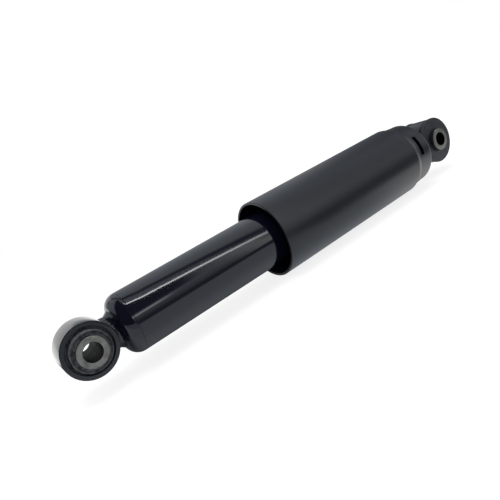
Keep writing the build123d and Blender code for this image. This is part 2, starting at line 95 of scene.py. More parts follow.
def linear(hex_colour):
    """An sRGB hex colour as the linear colour that a shader takes, with alpha 1."""
    parts = [int(hex_colour[i:i + 2], 16) / 255 for i in (1, 3, 5)]
    return [p / 12.92 if p <= 0.04045 else ((p + 0.055) / 1.055) ** 2.4 for p in parts] + [1.0]


def colour(name, hex_colour, description):
    """A colour that a user may change, given as sRGB hex."""
    return bpy.props.FloatVectorProperty(
        name=name, description=description, default=linear(hex_colour), subtype="COLOR", size=4,
        min=0, max=1,
    )


class ShockSizes(bpy.types.PropertyGroup):
    """Lengths of the shapes that are finished here"""

    bolt_bore_radius: size("Bolt bore radius", 7.1, "Radius of the hole for the eye bolt")
    sleeve_edge: size("Sleeve edge", 0.6, "Chamfer outside on the inner sleeve's ends")
    bore_edge: size("Bore edge", 0.2, "Chamfer of the bolt bore")
    ring_wall: size("Ring wall", 3.6, "Thickness of both eye rings")
    ring_edge: size("Ring edge", 0.6, "Rounding on the outside edge of an eye ring")
    boss_radius: size("Boss radius", 15.8, "Radius of the lower bush's proud boss")
    groove_depth: size("Groove depth", 4.0, "Depth of the groove between the boss and the ring")
    upper_inset: size("Upper inset", 1.4, "How far the upper flange stands back on each side")
    ring_inset: size("Ring inset", 2.4, "How far the upper ring stands back on each side")
    flange_gap: size("Flange gap", 1.6, "Gap between the upper ring and the bush's flange")
    flange_round: size("Flange round", 0.7, "Rounding of the flange's edge")
    flash_height: size("Flash height", 0.9, "Height of the torn moulding flash round a sleeve")
    cap_corner: size("Cap corner", 11.0, "Corner radius of the drawn base cap")
    tube_wall: size("Tube wall", 2.0, "Wall of the reserve tube")
    lip_radius: size("Lip radius", 17.5, "Inner radius of the tube's rolled lip")
    lip_thickness: size("Lip thickness", 2.2, "Thickness of the tube's rolled lip")
    seam_bevel: size("Seam bevel", 0.35, "Bevel where the tube meets the base cap")
    neck_radius: size("Neck radius", 13.2, "Radius of the weld neck at its waist")
    bead_height: size("Bead height", 0.35, "Height of the ripples along the weld bead")
    cover_wall: size("Cover wall", 2.2, "Wall of the moulded dust cover")
    rim_round: size("Rim round", 0.5, "Rounding of the cover's open rim")
    shoulder_station: size("Shoulder station", 364.0, "Where the cover's barrel ends")
    shoulder_length: size("Shoulder length", 6.0, "Length of the step from barrel to collar")
    shoulder_radius: size("Shoulder radius", 36.3, "Radius of the barrel at the shoulder")
    collar_radius: size("Collar radius", 34.3, "Radius where the collar starts")
    land_length: size("Land length", 9.8, "Length of the collar's plain land")
    land_drop: size("Land drop", 0.85, "Draft along the collar's land")
    collar_step: size("Collar step", 0.35, "Step at the end of the collar's land")
    collar_end_radius: size("Collar end radius", 32.7, "Radius of the collar at its closed end")
    collar_end_round: size("Collar end round", 4.6, "Rounding of the collar's closed end")
    top_lip_radius: size("Top lip radius", 24.0, "Inner radius of the lip over the steel cap")
    top_lip_thickness: size("Top lip thickness", 2.0, "Thickness of the lip over the steel cap")
    slot_station: size("Slot station", 373.6, "Where the collar's slots start")
    slot_width: size("Slot width", 5.4, "Width of the collar's slots along the rod")
    rib_thickness: size("Rib thickness", 0.95, "Thickness of the snap ribs at the steel cap's rim")
    rib_height: size("Rib height", 4.2, "How far the snap ribs stand in from the wall")
    spring_thickness: size("Spring thickness", 0.3, "Thickness of the check springs' strip")
    spring_ring_width: size("Spring ring width", 1.8, "Width of the ring a check spring hangs on")
    finger_width: size("Finger width", 3.0, "Width of a check spring's finger")
    rivet_hub_radius: size("Rivet hub radius", 4.0, "Radius of the rivet at the base check spring")
    support_hub_radius: size("Support hub radius", 6.5, "Radius of the piston check spring's hub")
    paint_ripple: size("Paint ripple", 6.0, "Distance between the soft ripples of the gloss paint")
    plastic_grain: size("Plastic grain", 0.7, "Grain of the moulded plastic's spark-eroded surface")
    turning_feed: size("Turning feed", 0.55, "Distance between the turning marks on bare steel")


class ShockColours(bpy.types.PropertyGroup):
    """Colours of the finishes"""

    gloss_paint: colour("Gloss paint", "#080b17", "Black gloss paint on the tube and lower eye")
    paint_dust: colour("Paint dust", "#1e2025", "Specks of dust on the gloss paint")
    satin_paint: colour("Satin paint", "#121318", "Black satin paint on the upper eye")
    satin_wear: colour("Satin wear", "#212329", "Satin paint where it is handled")
    cover_plastic: colour("Cover plastic", "#10131b", "Black plastic of the dust cover")
    plastic_rub: colour("Plastic rub", "#1c1e23", "Paler rubs on the dust cover")
    rubber: colour("Rubber", "#1a1c20", "Black rubber of the bushes")
    rubber_bloom: colour("Rubber bloom", "#53555a", "Grey bloom and dust on the rubber")
    # A darker, bluer patch colour for the upper bush's copy of the rubber
    upper_rubber_patch: colour("Upper rubber patch", "#2b2f37", "Lighter patches of the upper bush")
    bare_steel: colour("Bare steel", "#8e8d88", "Machined steel of the inner sleeves")
    steel_stain: colour("Steel stain", "#67645f", "Darker film of oil and early rust on bare steel")
    # Painted shade: a dark colour that stands for the shade in the bolt bore
    bore_painted_shade: colour("Bore painted shade", "#100e0e", "Brown-black film in the bolt bore")
    pressed_steel: colour("Pressed steel", "#8d8b88", "Clean steel of the pieces inside")
    pressed_steel_film: colour("Pressed steel film", "#75736f", "Film of oil on the pieces inside")
    chrome: colour("Chrome", "#c9c9cc", "Hard chrome of the piston rod")
    sintered_iron: colour("Sintered iron", "#58585a", "Pressed and sintered iron parts")
    iron_pore: colour("Iron pore", "#38383a", "Open pores of the sintered iron")
    bronze: colour("Bronze", "#8a6a3c", "Bronze bearing layer")
    band_plastic: colour("Band plastic", "#3b2a20", "Brown filled plastic of the piston band")
    floor: colour("Floor", "#f4f4f4", "Pale studio floor")


# The sockets of a Mix node for each kind of data: its two inputs and its result
MIX_SOCKETS = {"FLOAT": (2, 3, 0), "RGBA": (6, 7, 2)}

# Directions as the camera sees them, in the object's frame
RIGHT, LEFT = (1, 0, 0), (-1, 0, 0)
BACK, FRONT = (0, 1, 0), (0, -1, 0)
UP = (0, 0, 1)


def add_node(tree, kind, inputs=None, **settings):
    """Adds a shader node, sets its settings, and gives each input a value or a link."""
    made = tree.nodes.new("ShaderNode" + kind)
    for key, value in settings.items():
        setattr(made, key, value)
    for key, value in (inputs or {}).items():
        if isinstance(value, bpy.types.NodeSocket):
            tree.links.new(value, made.inputs[key])
        else:
            made.inputs[key].default_value = value
    return made


def new_material(name):
    """A material and its empty node tree."""
    material = bpy.data.materials.new(name)
    material.use_nodes = True
    material.node_tree.nodes.clear()
    return material, material.node_tree


def shaded(material, inputs, bump=None):
    """The material with its surface wired. A bump is a pattern, its strength and its depth."""
    tree = material.node_tree
    if bump:
        pattern, strength, depth = bump
        relief = add_node(
            tree, "Bump", {"Height": pattern, "Strength": strength, "Distance": depth}
        )
        inputs["Normal"] = relief.outputs["Normal"]
    shader = add_node(tree, "BsdfPrincipled", inputs)
    add_node(tree, "OutputMaterial", {"Surface": shader.outputs["BSDF"]})
    return material


def noise_at(tree, spacing, detail=2.0, roughness=0.5, stretch=(1, 1, 1)):
    """A noise pattern whose features lie a real distance apart, in metres."""
    place = add_node(tree, "TexCoord")
    mapped = add_node(tree, "Mapping", {"Vector": place.outputs["Object"], "Scale": stretch})
    made = add_node(
        tree, "TexNoise",
        {"Vector": mapped.outputs["Vector"], "Scale": 1 / spacing, "Detail": detail,
         "Roughness": roughness},
    )
    return made.outputs["Fac"]


def marked(tree, base, *marks):
    """Lays marks over a colour or a value. A mark is a pattern, what the pattern turns the base
    to, and where it is sharpened, the two levels at which it starts and is full."""
    for pattern, mark, *levels in marks:
        if levels:
            start, full = levels
            pattern = add_node(
                tree, "MapRange", {"Value": pattern, "From Min": start, "From Max": full}
            ).outputs["Result"]
        kind = "FLOAT" if isinstance(mark, float) else "RGBA"
        first, second, result = MIX_SOCKETS[kind]
        mix = add_node(tree, "Mix", {0: pattern, first: base, second: mark}, data_type=kind)
        base = mix.outputs[result]
    return base


def grey(level):
    """A grey light of a level, cool where it is dim, as daylight in the shade is."""
    cool = 0.07 if level < 1 else 0
    return (level * (1 - cool), level, level * (1 + cool), 1)


def region(tree, place, *sides):
    """1 inside some planes and 0 outside. A side is a direction, its start and how soft it is."""
    inside = 1.0
    for direction, start, soft in sides:
        along = add_node(tree, "VectorMath", {0: place, 1: direction}, operation="DOT_PRODUCT")
        edge = add_node(
            tree, "MapRange",
            {"Value": along.outputs["Value"], "From Min": start - soft, "From Max": start + soft},
            interpolation_type="SMOOTHSTEP",
        )
        inside = add_node(
            tree, "Math", {0: inside, 1: edge.outputs["Result"]}, operation="MULTIPLY"
        ).outputs["Value"]
    return inside


def slab(direction, middle, half_width, soft):
    """The two sides of a slice across a direction."""
    opposite = [-d for d in direction]
    return (direction, middle - half_width, soft), (opposite, -middle - half_width, soft)


def gloss_enamel_sprayed(sizes, colours):
    """Black enamel sprayed on steel and baked: a hard gloss with a soft orange-peel ripple
    that bends reflections, and a little dust that dulls it in places."""
    material, tree = new_material("gloss_enamel_sprayed")
    ripple = noise_at(tree, sizes.paint_ripple, detail=0.0, stretch=(0.5, 1, 1))
    dust = noise_at(tree, sizes.paint_ripple / 4, detail=3.0)
    return shaded(material, {
        "Base Color": marked(tree, colours.gloss_paint, (dust, colours.paint_dust, 0.66, 0.8)),
        "Roughness": marked(tree, 0.085, (dust, 0.15, 0.66, 0.8)),
        "IOR": 1.52,
    }, bump=(ripple, 0.13, 0.12 * MM))


def satin_paint_dipped(colours):
    """Black electrophoretic dip paint on steel: thin, even and half matt, greyer where handled."""
    material, tree = new_material("satin_paint_dipped")
    wear = noise_at(tree, 9 * MM, detail=4.0)
    return shaded(material, {
        "Base Color": marked(tree, colours.satin_paint, (wear, colours.satin_wear, 0.45, 0.75)),
        "Roughness": marked(tree, 0.3, (wear, 0.46)),
        "IOR": 1.5,
    }, bump=(noise_at(tree, 0.9 * MM, detail=2.0), 0.25, 0.05 * MM))


def polypropylene_moulded(sizes, colours):
    """Black polypropylene from a spark-eroded mould: an even fine grain that spreads every
    highlight, with faint flow marks along the barrel and paler rubs."""
    material, tree = new_material("polypropylene_moulded")
    # The real grain is under 0.1 mm, and is drawn coarser so that it shows
    grain = noise_at(tree, sizes.plastic_grain, detail=3.0, roughness=0.6)
    flow = noise_at(tree, 26 * MM, detail=3.0, stretch=(0.25, 1, 1))
    rub = noise_at(tree, 5 * MM, detail=5.0, roughness=0.65, stretch=(0.4, 1, 1))
    return shaded(material, {
        "Base Color": marked(tree, colours.cover_plastic, (rub, colours.plastic_rub, 0.6, 0.85)),
        "Roughness": marked(tree, 0.29, (flow, 0.38)),
        "IOR": 1.49,
    }, bump=(grain, 0.3, 0.06 * MM))


def rubber_compression_moulded(name, patch, colours):
    """Black natural rubber from a hot mould: dull, with patches of bloom and dust in the patch
    colour, and a fine skin texture, drawn coarser than the real one so that it shows."""
    material, tree = new_material(name)
    bloom = noise_at(tree, 4.5 * MM, detail=6.0, roughness=0.7)
    return shaded(material, {
        "Base Color": marked(tree, colours.rubber, (bloom, patch, 0.38, 0.6)),
        "Roughness": marked(tree, 0.42, (bloom, 0.66)),
        "IOR": 1.52,
    }, bump=(noise_at(tree, 0.5 * MM, detail=3.0), 0.7, 0.12 * MM))


def steel_turned(name, eye_x, sizes, colours):
    """Mild steel turned in a lathe and left bare under a film of oil: faint rings round the
    bolt hole, a soft metal sheen and brown-grey stains."""
    material, tree = new_material(name)
    place = add_node(tree, "TexCoord")
    centred = add_node(
        tree, "Mapping", {"Vector": place.outputs["Object"], "Location": (-eye_x, 0, 0)}
    ).outputs["Vector"]
    # The rings of a wave texture lie 0.314 apart at scale 1. A real feed is near 0.2 mm, and is
    # drawn coarser so that it shows
    rings = add_node(
        tree, "TexWave",
        {"Vector": centred, "Scale": 0.314 / sizes.turning_feed, "Distortion": 0.6, "Detail": 2.0,
         "Detail Scale": 3.0},
        wave_type="RINGS", rings_direction="Y",
    )
    stain = noise_at(tree, 6 * MM, detail=5.0, roughness=0.6)
    flat = add_node(tree, "VectorMath", {0: centred, 1: (1, 0, 1)}, operation="MULTIPLY")
    length = add_node(tree, "VectorMath", {0: flat.outputs["Vector"]}, operation="LENGTH")
    radius = length.outputs["Value"]
    # The bore and the outside, which the tool left rougher, are painted dark as shade: a dark
    # colour in the bore, and the rubber's colour with little metal on the outside
    bore_r, outer_r = sizes.bolt_bore_radius, SLEEVE_HIGH.z
    bore = add_node(
        tree, "MapRange",
        {"Value": radius, "From Min": bore_r + 0.5 * MM, "From Max": bore_r + 0.2 * MM},
    ).outputs["Result"]
    outside = (outer_r - 0.4 * MM, outer_r - 0.1 * MM)
    rough = add_node(
        tree, "Math", {0: bore, 1: 0.15, 2: marked(tree, 0.4, (stain, 0.6))},
        operation="MULTIPLY_ADD",
    )
    return shaded(material, {
        "Base Color": marked(
            tree, colours.bare_steel, (stain, colours.steel_stain, 0.4, 0.75),
            (bore, colours.bore_painted_shade), (radius, colours.rubber, *outside),
        ),
        "Metallic": marked(tree, 0.9, (radius, 0.1, *outside)),
        "Roughness": rough.outputs["Value"],
    }, bump=(rings.outputs["Fac"], 0.3, 0.03 * MM))


def steel_pressed(colours):
    """Plain steel of the small pressed and turned pieces inside: clean under oil."""
    material, tree = new_material("steel_pressed")
    film = noise_at(tree, 3 * MM, detail=3.0)
    return shaded(material, {
        "Base Color": marked(tree, colours.pressed_steel, (film, colours.pressed_steel_film)),
        "Roughness": marked(tree, 0.25, (film, 0.4)),
        "Metallic": 1.0,
    })


def chrome_hard_ground(colours):
    """Hard chrome plated and ground round the rod: a near mirror with hair-fine grinding rings."""
    material, tree = new_material("chrome_hard_ground")
    # The real rings are hundredths of a millimetre wide, and are drawn coarser so that they show
    lines = noise_at(tree, 0.6 * MM, detail=2.0, stretch=(1, 0.05, 0.05))
    return shaded(material, {
        "Base Color": colours.chrome,
        "Roughness": marked(tree, 0.06, (lines, 0.12)),
        "Metallic": 1.0,
    }, bump=(lines, 0.1, 0.01 * MM))


def iron_sintered(colours):
    """Iron powder pressed and sintered: grey and slightly open-pored."""
    material, tree = new_material("iron_sintered")
    pores = noise_at(tree, 0.5 * MM, detail=3.0)
    return shaded(material, {
        "Base Color": marked(tree, colours.iron_pore, (pores, colours.sintered_iron, 0.35, 0.6)),
        "Roughness": 0.5,
        "Metallic": 0.9,
    })


def bronze_rolled(colours):
    """Bronze layer of a rolled bush: warm and smooth."""
    material, tree = new_material("bronze_rolled")
    film = noise_at(tree, 2 * MM, detail=2.0)
    return shaded(material, {
        "Base Color": colours.bronze,
        "Roughness": marked(tree, 0.25, (film, 0.4)),
        "Metallic": 1.0,
    })


def fluoroplastic_skived(colours):
    """Filled fluoroplastic cut as a strip: brown and waxy."""
    material, tree = new_material("fluoroplastic_skived")
    film = noise_at(tree, 1.5 * MM, detail=2.0)
    return shaded(material, {
        "Base Color": colours.band_plastic,
        "Roughness": marked(tree, 0.35, (film, 0.5)),
    })


def rounded(corners, steps=7):
    """A closed outline from (station, radius, rounding) corners, with each rounding as an arc."""
    points = []
    count = len(corners)
    for i, (x, r, radius) in enumerate(corners):
        here = Vector((x, r))
        if not radius:
            points.append((here.x, here.y))
            continue
        back = (Vector(corners[i - 1][:2]) - here).normalized()
        ahead = (Vector(corners[(i + 1) % count][:2]) - here).normalized()
        half = math.acos(max(-1, min(1, back.dot(ahead)))) / 2
        reach = radius / math.tan(half)
        centre = here + (back + ahead).normalized() * (radius / math.sin(half))
        start, end = here + back * reach - centre, here + ahead * reach - centre
        sweep = math.atan2(start.x * end.y - start.y * end.x, start.dot(end))
        for step in range(steps + 1):
            a = sweep * step / steps
            turned = Matrix.Rotation(a, 2) @ start
            points.append((centre.x + turned.x, centre.y + turned.y))
    return points


def split_long(outline, longest):
    """Adds points so that no stretch of the closed outline is longer than the given length."""
    points = []
    for i, (x, r) in enumerate(outline):
        nx, nr = outline[(i + 1) % len(outline)]
        parts = max(1, math.ceil(math.hypot(nx - x, nr - r) / longest))
        points += [(x + (nx - x) * k / parts, r + (nr - r) * k / parts) for k in range(parts)]
    return points


def turned_solid(outline, along="X", centre=(0, 0, 0), segments=192, shift=None):
    """A closed solid turned from an outline of (station, radius) points round an axis. Shift,
    where given, moves each point by its angle."""
    made = bmesh.new()
    rings = []
    for k in range(segments):
        a = FULL_TURN * k / segments
        ring = []
        for station, radius in outline:
            if shift:
                station, radius = shift(station, radius, a)
            if along == "X":
                place = (station, -radius * math.cos(a), radius * math.sin(a))
            else:
                place = (radius * math.cos(a), station, radius * math.sin(a))
            ring.append(made.verts.new(Vector(centre) + Vector(place)))
        rings.append(ring)
    for k in range(segments):
        near, far = rings[k], rings[(k + 1) % segments]
        for i in range(len(outline)):
            j = (i + 1) % len(outline)
            made.faces.new((near[i], near[j], far[j], far[i]))
    bmesh.ops.remove_doubles(made, verts=made.verts, dist=1e-8)
    return made


def finished_piece(name, made, material, body, replaced, sharp=32, bends=None):
    """Puts a solid in the scene, shades it, attaches it to its body and hides the CAD node it
    replaces.
    For a piece that bends, where bends is given, the piece is not attached but keeps its place
    baked into its mesh; the second body and the points that bends holds are not used."""
    bmesh.ops.recalc_face_normals(made, faces=made.faces)
    mesh = bpy.data.meshes.new(name)
    made.to_mesh(mesh)
    made.free()
    mesh.materials.append(material)
    for polygon in mesh.polygons:
        polygon.use_smooth = True
    mesh.set_sharp_from_angle(angle=math.radians(sharp))
    piece = bpy.data.objects.new(name, mesh)
    bpy.context.scene.collection.objects.link(piece)
    if bends:
        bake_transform(piece)
    else:
        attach(piece, body)
    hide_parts(replaced)


def settings():
    """The sizes and colours that the panel shows."""
    scene = bpy.context.scene
    return scene.shock_sizes, scene.shock_colours


class SHOCK_OT_dust_cover(bpy.types.Operator):
    """Moulded dust cover with its drafted barrel, stepped collar and three slots"""

    bl_idname = "shock.dust_cover"
    bl_label = "Dust Cover"

    slot_count = 3
    slot_middle = math.radians(16.5)
    slot_angle = math.radians(37)
    segments = 360

    def outline(self, sizes):
        """The wall's outline; the slots' two stations are points of it, inside and outside."""
        wall = sizes.cover_wall
        rim_x, top_x = COVER_LOW.x, COVER_HIGH.x
        rim_r = COVER_HIGH.z
        collar_x = sizes.shoulder_station + sizes.shoulder_length
        land_x = collar_x + sizes.land_length
        land_r = sizes.collar_radius - sizes.land_drop
        slot_a, slot_b = sizes.slot_station, sizes.slot_station + sizes.slot_width
        seat_r = STEEL_CAP_HIGH.z + COVER_PLAY

        def collar_at(x):
            return sizes.collar_radius - sizes.land_drop * (x - collar_x) / sizes.land_length

        return rounded([
            (rim_x, rim_r - wall, sizes.rim_round),
            (rim_x, rim_r, sizes.rim_round),
            (sizes.shoulder_station, sizes.shoulder_radius, 1.2 * MM),
            (collar_x, sizes.collar_radius, 3 * MM),
            (slot_a, collar_at(slot_a), 0),
            (slot_b, collar_at(slot_b), 0),
            (land_x, land_r, 0.12 * MM),
            (land_x + 0.3 * MM, land_r - sizes.collar_step, 0.12 * MM),
            (top_x, sizes.collar_end_radius, sizes.collar_end_round),
            (top_x, sizes.top_lip_radius, 0.5 * MM),
            (top_x - sizes.top_lip_thickness, sizes.top_lip_radius, 0.3 * MM),
            (top_x - sizes.top_lip_thickness, seat_r, 0.5 * MM),
            (STEEL_CAP_LOW.x, seat_r, 0),
            (STEEL_CAP_LOW.x, collar_at(slot_b) - wall, 0),
            (slot_b, collar_at(slot_b) - wall, 0),
            (slot_a, collar_at(slot_a) - wall, 0),
            (collar_x - wall, sizes.collar_radius - wall, 1.0 * MM),
            (sizes.shoulder_station - wall, sizes.shoulder_radius - wall, 2 * MM),
        ])

    def cut_slots(self, made, sizes):
        """Opens the wall at each slot, closes the slot's sides and adds its snap rib."""
        low, high = sizes.slot_station, sizes.slot_station + sizes.slot_width
        count = self.slot_count
        middles = [self.slot_middle + FULL_TURN * k / count for k in range(count)]
        gone = []
        for face in made.faces:
            centre = face.calc_center_median()
            if not low < centre.x < high:
                continue
            a = math.atan2(centre.z, -centre.y)
            for middle in middles:
                away = (a - middle + math.pi) % FULL_TURN - math.pi
                if abs(away) < self.slot_angle / 2:
                    gone.append(face)
        bmesh.ops.delete(made, geom=gone, context="FACES")
        self.bridge(made, sizes)
        for middle in middles:
            self.snap_rib(made, sizes, middle)

    def bridge(self, made, sizes):
        """Joins each outer edge of a slot to the inner edge behind it. Vertices that stand behind
        each other have the same station and angle, told in steps finer than the mesh."""

        def place(vertex):
            angle = math.atan2(vertex.co.z, -vertex.co.y)
            return round(vertex.co.x / (0.05 * MM)), round(angle / 0.002)

        middle = sizes.collar_radius - sizes.cover_wall / 2 - sizes.land_drop / 2
        inner = {}
        outer_edges = []
        for edge in [e for e in made.edges if e.is_boundary]:
            radius = sum(math.hypot(v.co.y, v.co.z) for v in edge.verts) / 2
            if radius < middle:
                inner.update((place(v), v) for v in edge.verts)
            else:
                outer_edges.append(edge)
        for edge in outer_edges:
            a, b = edge.verts
            made.faces.new((a, b, inner[place(b)], inner[place(a)]))

    def snap_rib(self, made, sizes, middle):
        """A rib inside the wall beyond a slot, which catches the rim of the steel cap."""
        start = sizes.slot_station + sizes.slot_width
        end = start + sizes.rib_thickness
        wall = sizes.collar_radius - sizes.cover_wall
        crest = wall - sizes.rib_height
        corners = ((start, wall), (start, crest), (end, crest), (end, wall))
        steps = 12
        rows = []
        for k in range(steps + 1):
            a = middle + self.slot_angle * (k / steps - 0.5)
            sine, cosine = math.sin(a), math.cos(a)
            rows.append([made.verts.new((x, -r * cosine, r * sine)) for x, r in corners])
        for near, far in zip(rows, rows[1:]):
            for i in range(4):
                made.faces.new((near[i - 1], near[i], far[i], far[i - 1]))
        made.faces.new(rows[0])
        made.faces.new(rows[-1])

    def execute(self, context):
        sizes, colours = settings()
        outline = split_long(self.outline(sizes), longest=12 * MM)
        shell = turned_solid(outline, segments=self.segments)
        self.cut_slots(shell, sizes)
        finished_piece(
            "dust_cover_shell", shell, polypropylene_moulded(sizes, colours), "rod_assembly",
            "dust_cover",
        )
        return {"FINISHED"}


class SHOCK_OT_reserve_tube(bpy.types.Operator):
    """Painted reserve tube with its rolled top and the drawn base cap"""

    bl_idname = "shock.reserve_tube"
    bl_label = "Reserve Tube and Base Cap"

    def execute(self, context):
        sizes, colours = settings()
        paint = gloss_enamel_sprayed(sizes, colours)
        r = TUBE_HIGH.z
        bore = r - sizes.tube_wall
        low, high = TUBE_LOW.x, TUBE_HIGH.x
        tube = rounded([
            (low, bore, 0),
            (low, r - sizes.seam_bevel, 0),
            (low + sizes.seam_bevel, r, sizes.seam_bevel / 2),
            (high, r, sizes.lip_thickness + 1.5 * MM),
            (high, sizes.lip_radius, 0.4 * MM),
            (high - sizes.lip_thickness, sizes.lip_radius, 0),
            (high - sizes.lip_thickness, bore, 0),
        ])
        tube = turned_solid(split_long(tube, longest=12 * MM), segments=256)
        finished_piece(
            "reserve_tube_painted", tube, paint, "reserve_body",
            "reserve_tube",
        )
        spigot = bore - SEAT_GAP
        base, end = CAP_LOW.x, CAP_HIGH.x
        wall, pole = 3 * MM, 0.2 * MM
        cap = rounded([
            (base, pole, 0),
            # A hair less than the corner, so that the arc ends before the cap's edge
            (base, r, sizes.cap_corner * 0.999),
            (low, r - SEAT_GAP, 0),
            (low, spigot, 0),
            (end, spigot, 0),
            (end, spigot - wall, 0),
            (base + wall, spigot - wall, 7 * MM),
            (base + wall, pole, 0),
        ], steps=20)
        finished_piece(
            "base_cap_painted", turned_solid(cap, segments=256), paint, "reserve_body",
            "base_cap",
        )
        finished_piece(
            "lower_weld_neck", self.weld_neck(sizes), paint, "reserve_body",
            "lower_eye_weld",
        )
        return {"FINISHED"}

    def weld_neck(self, sizes):
        """The neck of weld between the ring and the cap, waisted and rippled like a laid bead."""
        ring_r, toe_r = LOWER_RING_HIGH.z, WELD_HIGH.z
        cap_x = CAP_LOW.x
        around, rows = 240, 26
        ripples, first_ripple, ripple_spread = 34, 0.25, 0.18
        made = bmesh.new()
        grid = []
        for k in range(around):
            a = FULL_TURN * k / around
            row = []
            for j in range(rows + 1):
                t = j / rows
                flare = (toe_r - sizes.neck_radius) * t ** 3 + 0.7 * MM * (1 - t) ** 4
                r = sizes.neck_radius + flare
                z = r * math.sin(a)
                start = math.sqrt(ring_r ** 2 - z ** 2) - 0.5 * MM
                x = start + (cap_x + 0.3 * MM - start) * t
                ripple = math.sin(a * ripples + 2.2 * math.sin(3 * a))
                ripple *= math.exp(-((t - first_ripple) / ripple_spread) ** 2)
                lump = noise.noise(Vector((a * 2.1, t * 3.0, 1.7)))
                r += sizes.bead_height * (0.5 * ripple + 0.9 * lump * math.sin(math.pi * t))
                row.append(made.verts.new((x, -r * math.cos(a), r * math.sin(a))))
            grid.append(row)
        for k in range(around):
            near, far = grid[k], grid[(k + 1) % around]
            for j in range(rows):
                made.faces.new((near[j], near[j + 1], far[j + 1], far[j]))
        made.faces.new([row[0] for row in grid])
        made.faces.new([row[-1] for row in reversed(grid)])
        return made


def ring_outline(radius, half_width, wall, edge):
    """The section of an eye ring, rounded outside and broken inside."""
    return rounded([
        (-half_width, radius - wall, 0.3 * MM),
        (-half_width, radius, edge),
        (half_width, radius, edge),
        (half_width, radius - wall, 0.3 * MM),
    ])


def sleeve_outline(sizes):
    """The section of an inner sleeve."""
    half = SLEEVE_HIGH.y
    edge, broken = sizes.sleeve_edge, sizes.bore_edge
    bore, outer = sizes.bolt_bore_radius, SLEEVE_HIGH.z
    return rounded([
        (-half, bore + broken, 0),
        (-half, outer - edge, 0.2 * MM),
        (-half + edge, outer, 0.2 * MM),
        (half - edge, outer, 0.2 * MM),
        (half, outer - edge, 0.2 * MM),
        (half, bore + broken, 0),
        (half - broken, bore, 0),
        (-half + broken, bore, 0),
    ], steps=3)


def both_sides(side, longest):
    """The closed outline of a bush from the corners of one side, in stretches up to a length."""
    mirrored = [(-x, r, rounding) for x, r, rounding in reversed(side)]
    return split_long(rounded(side + mirrored), longest)


def torn_flash(sizes, face, seed):
    """Moves the rubber of a bush's face beside the sleeve like the torn flash of a mould."""
    middle, spread, depth = SLEEVE_HIGH.z + 0.9 * MM, 1.3 * MM, 2 * MM

    def shift(station, radius, angle):
        near = math.exp(-((radius - middle) / spread) ** 2)
        on_face = min(1, max(0, (abs(station) - face + depth) / depth))
        at = Vector((math.cos(angle) * 4, math.sin(angle) * 4, seed + radius * 600))
        rough = noise.noise(at) + noise.noise(at * 4)
        lift = sizes.flash_height * near * on_face * rough
        return station + math.copysign(lift, station), radius

    return shift


class SHOCK_OT_lower_eye(bpy.types.Operator):
    """Lower eye: painted ring, grooved rubber bush and bare steel sleeve"""

    bl_idname = "shock.lower_eye"
    bl_label = "Lower Eye"

    def execute(self, context):
        sizes, colours = settings()
        paint = bpy.data.materials["gloss_enamel_sprayed"]
        radius, half = LOWER_RING_HIGH.z, LOWER_RING_HIGH.y
        ring = ring_outline(radius, half, sizes.ring_wall, sizes.ring_edge)
        finished_piece(
            "lower_ring_painted", turned_solid(ring, along="Y"), paint, "reserve_body",
            "lower_eye_ring",
        )
        crown = LOWER_RUBBER_HIGH.y
        boss = crown - 1.0 * MM
        groove = half - sizes.groove_depth
        outer = radius - sizes.ring_wall - SEAT_GAP
        inner = SLEEVE_HIGH.z + SLEEVE_GAP
        side = [
            (groove, outer, 0),
            (groove, sizes.boss_radius, 0.5 * MM),
            (boss - 0.4 * MM, sizes.boss_radius, 0.8 * MM),
            (boss, sizes.boss_radius - 1.6 * MM, 0.8 * MM),
            (boss + 0.3 * MM, inner + 2.4 * MM, 0.2 * MM),
            (boss - 0.7 * MM, inner + 1.7 * MM, 0.3 * MM),
            (crown, inner + 0.9 * MM, 0.2 * MM),
            (crown, inner, 0),
        ]
        bush = turned_solid(
            both_sides(side, longest=0.5 * MM), along="Y", segments=160,
            shift=torn_flash(sizes, boss, seed=3.0),
        )
        rubber = rubber_compression_moulded(
            "rubber_compression_moulded", colours.rubber_bloom, colours
        )
        finished_piece(
            "lower_bush_moulded", bush, rubber, "reserve_body", "lower_bush_rubber",
            sharp=60,
        )
        sleeve = turned_solid(sleeve_outline(sizes), along="Y")
        steel = steel_turned("steel_turned_lower", 0, sizes, colours)
        finished_piece(
            "lower_sleeve_turned", sleeve, steel, "lower_sleeve", "lower_inner_sleeve"
        )
        return {"FINISHED"}


